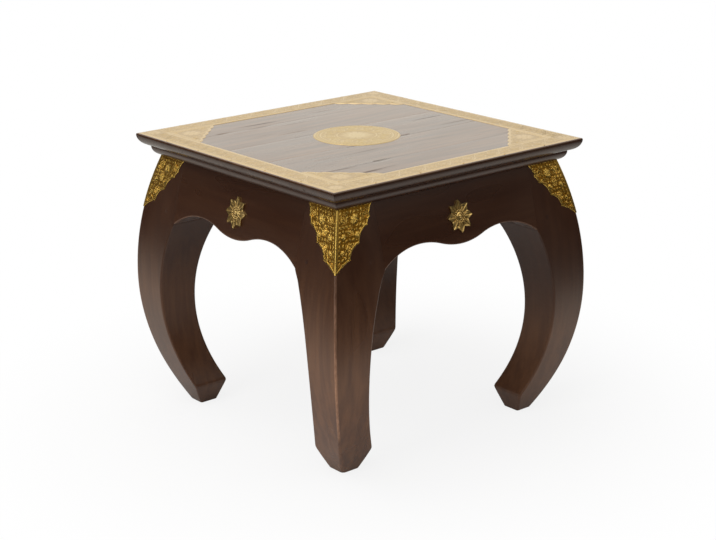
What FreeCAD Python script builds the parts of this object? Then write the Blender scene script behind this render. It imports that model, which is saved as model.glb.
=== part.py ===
"""Low square table with bulging square legs, moulded top and embossed brass sheet.

The frame stands on the floor at z = 0, with the table's upright centre line on the Z axis.
The front faces -Y, the right side faces +X. Lengths are millimetres.
"""
import FreeCAD
import Part

import math
import os

Vec = FreeCAD.Vector

# Whole table
top_width = 450.0
table_height = 408.0

# Top board, edge-glued from planks that run from front to back
board_thickness = 17.0
board_arris = 2.0
board_edge_flat = 6.5
board_round_in = 8.0
board_round_bulge = 2.2
plank_count = 5

# Moulding rails under the board
moulding_thickness = 14.0
moulding_width = 50.0
moulding_setback = 15.0
moulding_arris = 1.0
moulding_edge_flat = 4.5
moulding_round_in = 6.5
moulding_round_bulge = 1.8

# Legs: every reach is measured out from the centre line, square to a side
leg_setback = 10.6
leg_top_width = 59.4
leg_waist = 60.6
belly_swell = 31.7
belly_height = 196.0
hollow_height = 160.0
foot_tuck = 19.3
foot_flat = 28.0
toe_overhang = 11.5
toe_height = 32.0

# Aprons: depths are measured down from the top of the legs
apron_top_thickness = 20.0
apron_end_depth = 87.5
apron_crown_depth = 65.8
apron_drop_depth = 79.0
apron_crown_place = 75.0

# Tenons at the ends of the aprons, and the pegs across them
tenon_thickness = 10.0
tenon_length = 35.0
tenon_inner_shoulder = 5.0
tenon_lower_shoulder = 4.5
tenon_haunch = 8.0
tenon_fit = 0.15
tenon_end_room = 2.0
peg_radius = 3.0
peg_fit = 0.05
peg_from_shoulder = 22.0
peg_from_tenon_edge = 10.0
peg_past_tenon = 8.0

# Cleats inside the aprons, clear of the legs at both ends
cleat_end_room = 25.0
cleat_width = 24.0
cleat_height = 26.0

# Steel countersunk screws through the cleats
screw_radius = 2.0
screw_head_radius = 4.0
screw_head_height = 2.6
screw_fit = 0.05
screw_bite = 6.0
top_screw_from_end = 25.0
apron_screw_from_end = 50.0

# Embossed brass sheet on the top
brass_sheet = 0.8
sheet_gap = 0.1
border_margin = 2.5
border_width = 32.0
corner_plate_leg = 76.0
corner_lobe_count = 5
corner_lobe_bulge = 2.5
medallion_radius = 62.0

# Brass caps on the legs and rosettes on the aprons
cap_side_margin = 1.4
cap_height = 77.5
rosette_radius = 22.0
rosette_valley_radius = 15.5
rosette_point_count = 8
rosette_sheet = 1.2
rosette_boss_radius = 7.0
rosette_boss_height = 3.0
rosette_depth = 43.0

# Brass pins and nails: flush heads in the sheets of the top, round heads on the caps and rosettes
pin_radius = 0.6
pin_length = 7.0
pin_head_radius = 1.3
pin_head_height = 0.5
pin_fit = 0.05
pin_rim = 3.0
border_pin_count = 5
medallion_pin_count = 6
nail_radius = 1.0
nail_length = 12.0
nail_head_radius = 2.6
nail_head_height = 1.4

# How far a cutting shape runs past what it cuts
overrun = 5.0

# Edge of a leg cap on one face, from its top to its tip: across from the leg's outer edge as a
# share of cap_width, down as a share of cap_height, and how deep the scallop that follows is, as
# a share of cap_width
cap_edge_shares = (
    (1.0, 0.0, 0.02),
    (0.94, 0.10, 0.02),
    (0.955, 0.21, 0.03),
    (0.895, 0.325, 0.085),
    (0.67, 0.58, 0.085),
    (0.42, 0.82, 0.03),
    (0.03, 1.0, 0.0),
)
# Pins on one face of a leg cap, as shares of the same two sizes
cap_pin_shares = ((0.79, 0.12), (0.55, 0.45), (0.25, 0.76))
# Pins on a corner plate, as shares of corner_plate_leg in from its square corner
corner_pin_shares = ((0.08, 0.08), (0.72, 0.08), (0.08, 0.72))

# Places that follow from the sizes
half_top = top_width / 2
board_top = table_height - brass_sheet
board_bottom = board_top - board_thickness
leg_top = board_bottom - moulding_thickness
moulding_reach = half_top - moulding_setback
moulding_inner = moulding_reach - moulding_width
leg_top_reach = moulding_reach - leg_setback
belly_reach = leg_top_reach + belly_swell
hollow_reach = belly_reach - leg_waist
foot_reach = leg_top_reach - foot_tuck
shoulder_reach = leg_top_reach - leg_top_width
shoulder_height = leg_top - apron_end_depth
apron_inner_reach = leg_top_reach - apron_top_thickness
tenon_inner_reach = apron_inner_reach + tenon_inner_shoulder
tenon_outer_reach = tenon_inner_reach + tenon_thickness
tenon_bottom = shoulder_height + tenon_lower_shoulder
tenon_top = leg_top - tenon_haunch
cleat_length = 2 * (shoulder_reach - cleat_end_room)
cap_width = leg_top_width - cap_side_margin
border_outer = half_top - border_margin
border_inner = border_outer - border_width
far_reach = max(belly_reach, half_top) + overrun

# The legs and aprons share one face above the belly: an arc that stands upright at the belly
face_rise = leg_top - belly_height
face_radius = (belly_swell ** 2 + face_rise ** 2) / (2 * belly_swell)

UP = Vec(0, 0, 1)
DOWN = Vec(0, 0, -1)
CENTRE = Vec(0, 0, 0)
DIAGONAL = Vec(1, 1, 0)
SIDES = ("front", "right", "back", "left")
CORNERS = ("front_right", "back_right", "back_left", "front_left")


def line(start, end):
    """Straight edge between two points."""
    return Part.LineSegment(start, end).toShape()


def tangent_arc(start, direction, end):
    """Round edge that leaves start along the unit direction and ends at end."""
    chord = end - start
    lean = direction + chord / chord.Length
    middle = start + lean * (chord.Length / lean.dot(lean))
    return Part.Arc(start, middle, end).toShape()


def bulged_arc(start, end, outward, bulge):
    """Round edge whose middle stands off the chord by bulge, on the side that outward points to."""
    chord = end - start
    square = outward - chord * (outward.dot(chord) / chord.dot(chord))
    middle = (start + end) / 2 + square * (bulge / square.Length)
    return Part.Arc(start, middle, end).toShape()


def prism(edges, along):
    """Solid from a closed outline of edges, carried along a vector."""
    wire = Part.Wire(Part.sortEdges(edges)[0])
    return Part.Face(wire).extrude(along)


def flat_prism(points, along):
    """Solid from a straight-sided outline, carried along a vector."""
    return Part.Face(Part.makePolygon(list(points) + [points[0]])).extrude(along)


def block(low, high):
    """Square block between two opposite corners."""
    size = high - low
    return Part.makeBox(size.x, size.y, size.z, low)


def turned(shape, quarter):
    """Copy of a shape turned by quarter turns about the upright centre line."""
    copy = shape.copy()
    copy.rotate(CENTRE, UP, 90 * quarter)
    return copy


def all_round(shapes):
    """Copies of the shapes at all four quarter turns."""
    return [turned(shape, quarter) for quarter in range(len(SIDES)) for shape in shapes]


def across_diagonal(shape):
    """Mirror image of a front right corner shape across the plane through its outer edge."""
    return shape.mirror(CENTRE, DIAGONAL)


def pointed(shape, place, direction):
    """Copy of an upright shape, with its foot moved to place and its top turned to direction."""
    copy = shape.copy()
    copy.Placement = FreeCAD.Placement(place, FreeCAD.Rotation(UP, direction))
    return copy


def side_wedge(low, high):
    """All that lies nearer to the front side than to the other three, between two heights."""
    points = (Vec(0, 0, low), Vec(far_reach, -far_reach, low), Vec(-far_reach, -far_reach, low))
    return flat_prism(points, UP * (high - low))


def face_reach(height, proud=0.0):
    """Reach at a height of the face that legs and aprons share, or of a face proud of it."""
    radius = face_radius + proud
    return belly_reach - face_radius + math.sqrt(radius ** 2 - (height - belly_height) ** 2)


def face_point(across, height, proud=0.0):
    """Point on the front face, across from the centre line."""
    return Vec(across, -face_reach(height, proud), height)


def face_normal(height, proud=0.0):
    """Direction straight out of the front face at a height, or of a face proud of it."""
    lean = math.asin((height - belly_height) / (face_radius + proud))
    return Vec(0, -math.cos(lean), math.sin(lean))


def face_edge(proud):
    """Upright curve of the front face on the centre line, from the belly to the top."""
    belly = face_point(0, belly_height, proud)
    return tangent_arc(belly, UP, face_point(0, leg_top, proud))


def face_skin(thickness):
    """Sheet that lies on the whole front face and bends with it."""
    inner = face_edge(0)
    outer = face_edge(thickness)
    ends = [
        line(face_point(0, belly_height), face_point(0, belly_height, thickness)),
        line(face_point(0, leg_top), face_point(0, leg_top, thickness)),
    ]
    sheet = prism([inner, outer] + ends, Vec(2 * far_reach, 0, 0))
    sheet.translate(Vec(-far_reach, 0, 0))
    return sheet


def round_head(radius, height):
    """Domed head on a flat foot."""
    ball = (radius ** 2 + height ** 2) / (2 * height)
    latitude = math.degrees(math.asin((ball - height) / ball))
    return Part.makeSphere(ball, UP * (height - ball), UP, latitude, 90, 360)


def brass_pin():
    """Round-headed pin: its head stands on the sheet and its shank goes down into the wood."""
    shank = Part.makeCylinder(pin_radius, pin_length, CENTRE, DOWN)
    return round_head(pin_head_radius, pin_head_height).fuse(shank)


def bore(radius, length):
    """Hole for a shank, with its fit, that starts outside the sheet and the wood."""
    return Part.makeCylinder(radius + pin_fit, overrun + length + pin_fit, UP * overrun, DOWN)


def pin_bore():
    """Hole that a pin's shank sits in."""
    return bore(pin_radius, pin_length)


def rosette_nail():
    """Round-headed nail through the boss of a rosette."""
    shank = Part.makeCylinder(nail_radius, nail_length, CENTRE, DOWN)
    return round_head(nail_head_radius, nail_head_height).fuse(shank)


def nail_bore():
    """Hole that a rosette nail's shank sits in."""
    return bore(nail_radius, nail_length)


def countersunk(radius, head_radius, head_height, length, fit):
    """Fixing with the flat of its conical head at the foot, or with a fit the hole it sits in."""
    head = Part.makeCone(head_radius + fit, radius + fit, head_height, CENTRE, DOWN)
    shank = Part.makeCylinder(radius + fit, length + fit, CENTRE, DOWN)
    return head.fuse(shank)


def screw(length, fit=0.0):
    """Countersunk screw, or with a fit the hole it sits in."""
    return countersunk(screw_radius, screw_head_radius, screw_head_height, length, fit)


def flush_pin(fit=0.0):
    """Pin whose head lies level with its sheet, or with a fit the hole it sits in."""
    return countersunk(pin_radius, pin_head_radius, pin_head_height, pin_length, fit)


def edged_slab(reach, bottom, thickness, arris, edge_flat, round_in, bulge):
    """Square slab with the same moulded edge on all four sides."""
    top = bottom + thickness

    def half_edges(side):
        crown_end = Vec(side * (reach - arris), 0, top)
        flat_start = Vec(side * reach, 0, top - arris)
        flat_end = Vec(side * reach, 0, top - edge_flat)
        under = Vec(side * (reach - round_in), 0, bottom)
        outward = Vec(side, 0, 0)
        return [
            line(Vec(0, 0, top), crown_end),
            tangent_arc(crown_end, outward, flat_start),
            line(flat_start, flat_end),
            bulged_arc(flat_end, under, outward, bulge),
            line(under, Vec(0, 0, bottom)),
        ]

    section = prism(half_edges(1) + half_edges(-1), Vec(0, 2 * far_reach, 0))
    section.translate(Vec(0, -far_reach, 0))
    return section.common(turned(section, 1))


# Fixings, placed first because the pieces they hold are drilled for them
def border_pin_places():
    """Pins along both rims of the front border strip."""
    rows = (border_outer - pin_rim, border_inner + pin_rim)
    spacing = 2 * border_inner / border_pin_count
    for reach in rows:
        for index in range(border_pin_count):
            across = spacing * (index + 0.5) - border_inner
            yield Vec(across, -reach, table_height)


def corner_pin_places():
    """Pins on the front right corner plate."""
    corner = border_inner - sheet_gap
    for share_x, share_y in corner_pin_shares:
        reach_x = corner - share_x * corner_plate_leg
        reach_y = corner - share_y * corner_plate_leg
        yield Vec(reach_x, -reach_y, table_height)


def medallion_pin_places():
    """Pins round the rim of the medallion."""
    for index in range(medallion_pin_count):
        angle = 2 * math.pi * index / medallion_pin_count
        reach = medallion_radius - pin_rim
        yield Vec(reach * math.cos(angle), reach * math.sin(angle), table_height)


def on_the_top(shape):
    """Copies of a pin or of its bore at every pin's place on the top."""
    quarter = list(border_pin_places()) + list(corner_pin_places())
    placed = all_round([pointed(shape, place, UP) for place in quarter])
    return placed + [pointed(shape, place, UP) for place in medallion_pin_places()]


def on_one_cap(shape):
    """Copies of a pin or of its bore at every pin's place on the front right leg cap."""
    placed = []
    for across_share, down_share in cap_pin_shares:
        height = leg_top - down_share * cap_height
        across = face_reach(height) - across_share * cap_width
        place = face_point(across, height, brass_sheet)
        placed.append(pointed(shape, place, face_normal(height, brass_sheet)))
    return placed + [across_diagonal(pin) for pin in placed]


rosette_height = leg_top - rosette_depth
rosette_normal = face_normal(rosette_height)
rosette_foot = face_point(0, rosette_height)
nail_seat = rosette_foot + rosette_normal * rosette_boss_height


def pegs_of_one_joint(fit=0.0):
    """The two pegs across the front apron's tenon in the front right leg, or their holes."""
    across = shoulder_reach + peg_from_shoulder
    inner = tenon_inner_reach - peg_past_tenon - fit
    heights = (tenon_bottom + peg_from_tenon_edge, tenon_top - peg_from_tenon_edge)
    for height in heights:
        start = Vec(across, -inner, height)
        yield Part.makeCylinder(peg_radius + fit, far_reach - inner, start, Vec(0, -1, 0))


def top_screws(fit=0.0):
    """Screws up through the front cleat, the moulding rail and a little of the top."""
    length = cleat_height + moulding_thickness + screw_bite
    bearing = min(cleat_width, apron_inner_reach - moulding_inner)
    reach = apron_inner_reach - bearing / 2
    spread = cleat_length / 2 - top_screw_from_end
    for step in (-1, 0, 1):
        place = Vec(step * spread, -reach, leg_top - cleat_height)
        yield pointed(screw(length, fit), place, DOWN)


def apron_screws(fit=0.0):
    """Screws out through the front cleat into the apron."""
    length = cleat_width + apron_top_thickness / 2
    height = leg_top - cleat_height / 2
    spread = cleat_length / 2 - apron_screw_from_end
    for side in (-1, 1):
        place = Vec(side * spread, cleat_width - apron_inner_reach, height)
        yield pointed(screw(length, fit), place, Vec(0, 1, 0))


# Wooden pieces
def leg_blank():
    """Front right leg as sawn from both faces: the same outline cut through from each."""
    top_outer = Vec(leg_top_reach, 0, leg_top)
    belly = Vec(belly_reach, 0, belly_height)
    foot_outer = Vec(foot_reach, 0, 0)
    foot_inner = Vec(foot_reach - foot_flat, 0, 0)
    toe = Vec(foot_reach - foot_flat - toe_overhang, 0, toe_height)
    hollow = Vec(hollow_reach, 0, hollow_height)
    shoulder = Vec(shoulder_reach, 0, shoulder_height)
    top_inner = Vec(shoulder_reach, 0, leg_top)
    outline = [
        tangent_arc(belly, UP, top_outer),
        tangent_arc(belly, DOWN, foot_outer),
        line(foot_outer, foot_inner),
        line(foot_inner, toe),
        tangent_arc(hollow, DOWN, toe),
        tangent_arc(hollow, UP, shoulder),
        line(shoulder, top_inner),
        line(top_inner, top_outer),
    ]
    sawn = prism(outline, Vec(0, -far_reach, 0))
    return sawn.common(across_diagonal(sawn))


def leg(blank):
    """Front right leg with its mortises, peg holes and pin holes."""
    mortise = block(
        Vec(shoulder_reach - overrun, -tenon_outer_reach - tenon_fit, tenon_bottom - tenon_fit),
        Vec(shoulder_reach + tenon_length + tenon_end_room,
            -tenon_inner_reach + tenon_fit, tenon_top + tenon_fit))
    one_joint = [mortise] + list(pegs_of_one_joint(peg_fit))
    both_joints = one_joint + [across_diagonal(shape) for shape in one_joint]
    return blank.cut(both_joints + on_one_cap(pin_bore()))


def tenon_pegs(blank):
    """Pegs of one leg, cut off flush with its faces."""
    pegs = [peg.common(blank) for peg in pegs_of_one_joint()]
    return pegs + [across_diagonal(peg) for peg in pegs]


def apron():
    """Front apron: shaped outer face, flat inner face, scalloped lower edge and two tenons."""
    crown_height = leg_top - apron_crown_depth
    drop_height = leg_top - apron_drop_depth
    drop = Vec(0, 0, drop_height)
    outline = [line(Vec(-shoulder_reach, 0, leg_top), Vec(shoulder_reach, 0, leg_top))]
    for side in (-1, 1):
        crown = Vec(side * apron_crown_place, 0, crown_height)
        waist = (crown + drop) / 2
        end = Vec(side * shoulder_reach, 0, shoulder_height)
        outward = Vec(side, 0, 0)
        outline += [
            tangent_arc(drop, outward, waist),
            tangent_arc(crown, -outward, waist),
            tangent_arc(crown, outward, end),
            line(end, Vec(end.x, 0, leg_top)),
        ]
    fretted = prism(outline, Vec(0, -far_reach, 0))

    belly = face_point(0, belly_height)
    top_outer = face_point(0, leg_top)
    top_inner = Vec(0, -apron_inner_reach, leg_top)
    low_inner = Vec(0, -apron_inner_reach, belly_height)
    section = [face_edge(0), line(top_outer, top_inner), line(top_inner, low_inner), line(low_inner, belly)]
    shaped = prism(section, Vec(2 * shoulder_reach, 0, 0))
    shaped.translate(Vec(-shoulder_reach, 0, 0))

    tenon_reach = shoulder_reach + tenon_length
    tenons = block(
        Vec(-tenon_reach, -tenon_outer_reach, tenon_bottom),
        Vec(tenon_reach, -tenon_inner_reach, tenon_top))
    tenons = tenons.cut(block(
        Vec(overrun - shoulder_reach, -far_reach, 0), Vec(shoulder_reach - overrun, 0, leg_top)))

    right_holes = list(pegs_of_one_joint(peg_fit))
    left_holes = [hole.mirror(CENTRE, Vec(1, 0, 0)) for hole in right_holes]
    drilled = right_holes + left_holes + list(apron_screws(screw_fit))
    drilled.append(pointed(nail_bore(), nail_seat, rosette_normal))
    return fretted.common(shaped).fuse(tenons).removeSplitter().cut(drilled)


def cleat():
    """Bar screwed inside the front apron, with its top against the moulding rail."""
    bar = block(
        Vec(-cleat_length / 2, -apron_inner_reach, leg_top - cleat_height),
        Vec(cleat_length / 2, cleat_width - apron_inner_reach, leg_top))
    return bar.cut(list(top_screws(screw_fit)) + list(apron_screws(screw_fit)))


def moulding_rail():
    """Front rail of the mitred frame between the top and the aprons."""
    slab = edged_slab(
        moulding_reach, leg_top, moulding_thickness, moulding_arris,
        moulding_edge_flat, moulding_round_in, moulding_round_bulge)
    opening = block(
        Vec(-moulding_inner, -moulding_inner, 0),
        Vec(moulding_inner, moulding_inner, table_height))
    frame = slab.cut(opening)
    rail = frame.common(side_wedge(leg_top, board_bottom))
    return rail.cut(list(top_screws(screw_fit)))


def planks():
    """The top's planks from left to right, with the moulded edge and the pin holes."""
    board = edged_slab(
        half_top, board_bottom, board_thickness, board_arris,
        board_edge_flat, board_round_in, board_round_bulge)
    width = top_width / plank_count
    bores = on_the_top(flush_pin(pin_fit)) + all_round(list(top_screws(screw_fit)))
    for index in range(plank_count):
        left = index * width - half_top
        strip = block(
            Vec(left, -half_top, board_bottom), Vec(left + width, half_top, board_top))
        near = [
            hole for hole in bores
            if hole.BoundBox.XMax > left and hole.BoundBox.XMin < left + width]
        yield board.common(strip).cut(near)


# Brass pieces
def border_strip(bores):
    """Front border strip of the top, mitred at both ends."""
    points = (
        Vec(-border_outer, -border_outer, board_top), Vec(border_outer, -border_outer, board_top),
        Vec(border_inner, -border_inner, board_top), Vec(-border_inner, -border_inner, board_top))
    return flat_prism(points, UP * brass_sheet).cut(bores)


def corner_plate(bores):
    """Front right corner plate: two straight sides on the border, one lobed side to the field."""
    corner = border_inner - sheet_gap
    square = Vec(corner, -corner, board_top)
    first = square - Vec(corner_plate_leg, 0, 0)
    last = square + Vec(0, corner_plate_leg, 0)
    step = (last - first) / corner_lobe_count
    edges = [line(square, first), line(last, square)]
    for index in range(corner_lobe_count):
        start = first + step * index
        edges.append(bulged_arc(start, start + step, Vec(-1, 1, 0), corner_lobe_bulge))
    return prism(edges, UP * brass_sheet).cut(bores)


def medallion(bores):
    """Round plate in the middle of the top."""
    return Part.makeCylinder(medallion_radius, brass_sheet, UP * board_top).cut(bores)


def leg_cap():
    """Cap folded over the outer edge of the front right leg, scalloped to a point."""
    edge_points = []
    for across_share, down_share, _ in cap_edge_shares:
        height = leg_top - down_share * cap_height
        across = face_reach(height) - across_share * cap_width
        edge_points.append(Vec(across, 0, height))
    tip = edge_points[-1]
    far_tip = Vec(far_reach, 0, tip.z)
    far_top = Vec(far_reach, 0, leg_top)
    outline = [line(tip, far_tip), line(far_tip, far_top), line(far_top, edge_points[0])]
    for index, (_, _, scallop_share) in enumerate(cap_edge_shares[:-1]):
        start, end = edge_points[index], edge_points[index + 1]
        outline.append(bulged_arc(start, end, Vec(1, 0, 1), scallop_share * cap_width))
    cut_out = prism(outline, Vec(0, -far_reach, 0))
    half = face_skin(brass_sheet).common(cut_out).common(side_wedge(0, table_height))
    return half.fuse(across_diagonal(half)).cut(on_one_cap(pin_bore()))


def rosette():
    """Eight-pointed pressed star on the middle of the front apron, with a domed boss."""
    turn = math.pi / rosette_point_count
    points = []
    for index in range(2 * rosette_point_count):
        radius = rosette_radius if index % 2 == 0 else rosette_valley_radius
        angle = turn * index
        points.append(Vec(radius * math.sin(angle), 0, rosette_height + radius * math.cos(angle)))
    star = flat_prism(points, Vec(0, -far_reach, 0)).common(face_skin(rosette_sheet))
    ball = (rosette_boss_radius ** 2 + rosette_boss_height ** 2) / (2 * rosette_boss_height)
    middle = rosette_foot + rosette_normal * (rosette_boss_height - ball)
    boss = Part.makeSphere(ball, middle).common(face_skin(ball))
    return star.fuse(boss).cut(pointed(nail_bore(), nail_seat, rosette_normal))


def save(name, solids, expected=1):
    """Write the solids of one node and say what they hold."""
    shape = Part.makeCompound(solids) if expected > 1 else solids[0]
    count = len(shape.Solids)
    state = "valid" if shape.isValid() and count == expected else "FAULT"
    print(f"{name}: {state}, {count} solids, {shape.Volume:.1f} cubic mm")
    shape.exportStep(f"parts/{name}.step")


os.makedirs("parts", exist_ok=True)

for index, plank in enumerate(planks()):
    save(f"top_plank_{index + 1}", [plank])

blank = leg_blank()
top_bores = on_the_top(flush_pin(pin_fit))
by_side = {
    "moulding": moulding_rail(),
    "apron": apron(),
    "cleat": cleat(),
    "border_strip": border_strip(top_bores),
    "rosette": rosette(),
}
by_corner = {
    "leg": leg(blank),
    "corner_plate": corner_plate(top_bores),
    "leg_cap": leg_cap(),
}
for names, shapes in ((SIDES, by_side), (CORNERS, by_corner)):
    for piece, shape in shapes.items():
        for quarter, place in enumerate(names):
            save(f"{piece}_{place}", [turned(shape, quarter)])

save("medallion", [medallion(top_bores)])

fixings = {
    "tenon_pegs": all_round(tenon_pegs(blank)),
    "top_screws": all_round(list(top_screws())),
    "apron_screws": all_round(list(apron_screws())),
    "top_sheet_pins": on_the_top(flush_pin()),
    "leg_cap_pins": all_round(on_one_cap(brass_pin())),
    "rosette_nails": all_round([pointed(rosette_nail(), nail_seat, rosette_normal)]),
}
for name, solids in fixings.items():
    save(name, solids, len(solids))
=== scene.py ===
"""Looks of a low square table with bulging legs and embossed brass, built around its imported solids.

Lengths are metres in the table's own frame: the floor is z = 0, the table's upright centre line is
the Z axis, the front faces -Y and the right side faces +X.
"""
import math

import bmesh
import bpy
import numpy as np
from mathutils import Matrix, Vector


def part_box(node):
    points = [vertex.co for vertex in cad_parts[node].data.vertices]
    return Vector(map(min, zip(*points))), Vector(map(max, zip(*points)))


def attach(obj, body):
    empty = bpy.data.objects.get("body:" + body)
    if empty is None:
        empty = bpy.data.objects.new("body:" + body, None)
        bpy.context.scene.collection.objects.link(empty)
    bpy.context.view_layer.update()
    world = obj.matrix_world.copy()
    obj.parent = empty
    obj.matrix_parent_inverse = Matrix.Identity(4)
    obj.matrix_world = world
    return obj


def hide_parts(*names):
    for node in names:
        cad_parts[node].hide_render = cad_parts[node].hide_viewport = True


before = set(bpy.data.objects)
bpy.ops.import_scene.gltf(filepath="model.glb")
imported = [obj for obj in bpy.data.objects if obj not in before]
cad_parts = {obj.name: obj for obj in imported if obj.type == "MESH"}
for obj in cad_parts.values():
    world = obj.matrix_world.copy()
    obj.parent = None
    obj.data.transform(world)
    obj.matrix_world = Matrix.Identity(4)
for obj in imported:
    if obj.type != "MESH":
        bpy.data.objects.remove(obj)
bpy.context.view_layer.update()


# Legs. Four square posts that swell to a belly and curl in to a small foot, each sawn to one outline
# from two faces out of dark stained hardwood. The stain is painted darker high up, and on every leg
# but the front right one, as painted shade. The lacquer is worn thin along the outer arrises, which
# are blunt at the foot, and the aprons are tenoned into the legs' upper ends.
SIDES = ("front", "right", "back", "left")
CORNERS = ("front_right", "back_right", "back_left", "front_left")
weld_distance = 1e-6
arris_sharp_degrees = 40.0

leg_low, leg_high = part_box("leg_front_right")
apron_low, apron_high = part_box("apron_front")
leg_top = leg_high.z
belly_reach = leg_high.x
toe_reach = leg_low.x
shoulder_height = apron_low.z
belly_height = 0.196
leg_top_reach = 0.1994
shoulder_reach = 0.140
hollow_reach = 0.1705
hollow_height = 0.160
foot_reach = 0.1801
foot_inner_reach = 0.1521
toe_height = 0.032
toe_blunting = 0.0015
foot_round = 0.0012
outer_arris = 0.0020
foot_arris = 0.0055
foot_arris_height = 0.09
inner_arris = 0.0028
joint_arris = 0.0003
joint_fade = 0.015
edge_fade = 0.003
inner_wear_share = 0.25
# The stain deepens upwards between these heights: painted shade under the top.
painted_shade_low = 0.13
painted_shade_high = 0.33
leg_rows = 150
side_steps = 18
corner_steps = 5
leg_grain_step = np.array([0.7, 0.3, 0.0])
# Painted shade by leg: a lift of the stain's height and a least depth for each leg.
leg_painted_shade_shifts = (0.0, 0.09, 0.20, 0.05)
leg_painted_shade_least = (0.0, 0.4, 0.4, 0.5)


def turned(points, quarter):
    """Points after quarter turns about the upright centre line: x and y become -y and x."""
    x, y, z = np.moveaxis(points, -1, 0)
    for _ in range(quarter):
        x, y = -y, x
    return np.stack([x, y, z], axis=-1)


def loft_faces(rows, columns, start):
    """Quads from each closed loop of points to the next, and one face over the first and last loop."""
    index = start + np.arange(rows * columns).reshape(rows, columns)
    ahead = np.roll(index, -1, axis=1)
    quads = np.stack([index[:-1], ahead[:-1], ahead[1:], index[1:]], axis=-1).reshape(-1, 4)
    return quads.tolist() + [index[0, ::-1].tolist(), index[-1].tolist()]


def add_object(name, data):
    """Object at the origin that shows its data in the scene."""
    thing = bpy.data.objects.new(name, data)
    bpy.context.scene.collection.objects.link(thing)
    return thing


def make_piece(name, lofts, material, nodes, sharp_degrees=arris_sharp_degrees):
    """Closed mesh from lofts, which are pairs of points by row and column, and named traits of them.

    Doubles are merged, so that poles and seams close, and the faces are turned outwards.
    """
    points = np.concatenate([loops.reshape(-1, 3) for loops, _ in lofts])
    faces = []
    start = 0
    for loops, _ in lofts:
        rows, columns = loops.shape[:2]
        faces += loft_faces(rows, columns, start)
        start += rows * columns
    mesh = bpy.data.meshes.new(name)
    mesh.from_pydata(points.tolist(), [], faces)
    for trait_name, first in lofts[0][1].items():
        is_vector = first.ndim == 3
        layer = mesh.attributes.new(trait_name, "FLOAT_VECTOR" if is_vector else "FLOAT", "POINT")
        values = np.concatenate([traits[trait_name].ravel() for _, traits in lofts])
        layer.data.foreach_set("vector" if is_vector else "value", values.astype(np.float32))
    work = bmesh.new()
    work.from_mesh(mesh)
    bmesh.ops.remove_doubles(work, verts=work.verts, dist=weld_distance)
    bmesh.ops.recalc_face_normals(work, faces=work.faces)
    work.to_mesh(mesh)
    work.free()
    mesh.shade_smooth()
    mesh.set_sharp_from_angle(angle=math.radians(sharp_degrees))
    mesh.materials.append(material)
    piece = add_object(name, mesh)
    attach(piece, "root")
    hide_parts(*nodes)


def arc_radius(swing, run):
    """Radius of an arc that swings away from its level apex over a run: (s^2 + r^2) / (2s)."""
    return (swing ** 2 + run ** 2) / (2 * swing)


def bowed(place, apex, apex_place, end, end_place):
    """Arc that is level at its apex and passes through an end: apex - R + sqrt(R^2 - distance^2)."""
    radius = arc_radius(apex - end, end_place - apex_place)
    bow = np.sqrt(np.clip(radius ** 2 - (place - apex_place) ** 2, 0, None))
    return apex - radius + math.copysign(1.0, radius) * bow


def smooth_step(value):
    """Ramp from zero to one that starts and ends level: 3t^2 - 2t^3."""
    share = np.clip(value, 0, 1)
    return share * share * (3 - 2 * share)


def stain_and_shade_depth(height):
    """Depth of the dark stain and of painted shade, which is heaviest high on the frame under the top."""
    return smooth_step((height - painted_shade_low) / (painted_shade_high - painted_shade_low))


def face_reach(height):
    """Reach of the outer face of legs and aprons: one arc above the belly and one below."""
    above = bowed(height, belly_reach, belly_height, leg_top_reach, leg_top)
    below = bowed(height, belly_reach, belly_height, foot_reach, 0.0)
    return np.where(height > belly_height, above, below)


def leg_inner_reach(height):
    """Reach of a leg's inner face: two arcs from the hollow, and a slanting facet under the toe.

    The greater of arc a and facet f holds, blunted by w: (a + f + sqrt((a - f)^2 + w^2)) / 2.
    """
    rising = bowed(height, hollow_reach, hollow_height, shoulder_reach, shoulder_height)
    falling = bowed(height, hollow_reach, hollow_height, toe_reach, toe_height)
    curved = np.where(height > hollow_height, rising, falling)
    curved = np.where(height > shoulder_height, shoulder_reach, curved)
    facet = foot_inner_reach - (foot_inner_reach - toe_reach) * height / toe_height
    return (curved + facet + np.sqrt((curved - facet) ** 2 + toe_blunting ** 2)) / 2


def square_loop():
    """Places round a square from -1 to 1, with the outward angle at each, crowded at the corners."""
    side = -np.cos(np.linspace(0, np.pi, side_steps + 1))
    swing = np.linspace(0, np.pi / 2, corner_steps + 1)[1:-1]
    across = np.concatenate([side, np.ones_like(swing)])
    out = np.ones_like(across)
    angle = np.concatenate([np.zeros_like(side), swing])
    parts = []
    for quarter in range(4):
        parts.append(np.stack([out, across, angle + quarter * np.pi / 2]))
        out, across = -across, out
    return np.concatenate(parts, axis=1)


def leg_loft():
    """Rounded square section carried up the leg: middle + (half - r) * corner + r * outward."""
    foot_rows = np.linspace(0, foot_round, corner_steps)
    height = np.concatenate([foot_rows[:-1], np.linspace(foot_round, leg_top, leg_rows)])[:, None]
    sunk = np.clip(foot_round - height, 0, foot_round)
    inset = foot_round - np.sqrt(foot_round ** 2 - sunk ** 2)
    outer = face_reach(height) - inset
    inner = leg_inner_reach(height) + inset
    middle = (outer + inner) / 2
    half = (outer - inner) / 2
    across, along, angle = square_loop()
    free = smooth_step((shoulder_height - height) / joint_fade)
    other_arris = joint_arris + (inner_arris - joint_arris) * free
    outer_share = np.clip((across + along) / 2, 0, 1)
    rubbed_foot = smooth_step(1 - height / foot_arris_height)
    outer_round = outer_arris + (foot_arris - outer_arris) * rubbed_foot
    radius = other_arris + (outer_round - other_arris) * outer_share
    x = middle + (half - radius) * across + radius * np.cos(angle)
    y = middle + (half - radius) * along + radius * np.sin(angle)
    z = np.broadcast_to(height, x.shape)
    from_corner = (1 - np.minimum(np.abs(across), np.abs(along))) * half
    worn = np.maximum(free * inner_wear_share, outer_share) * (1 - rubbed_foot)
    edge = np.exp(-from_corner / edge_fade) * worn
    return np.stack([x, -y, z], axis=-1), edge, np.stack([z, x, y], axis=-1)


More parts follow.
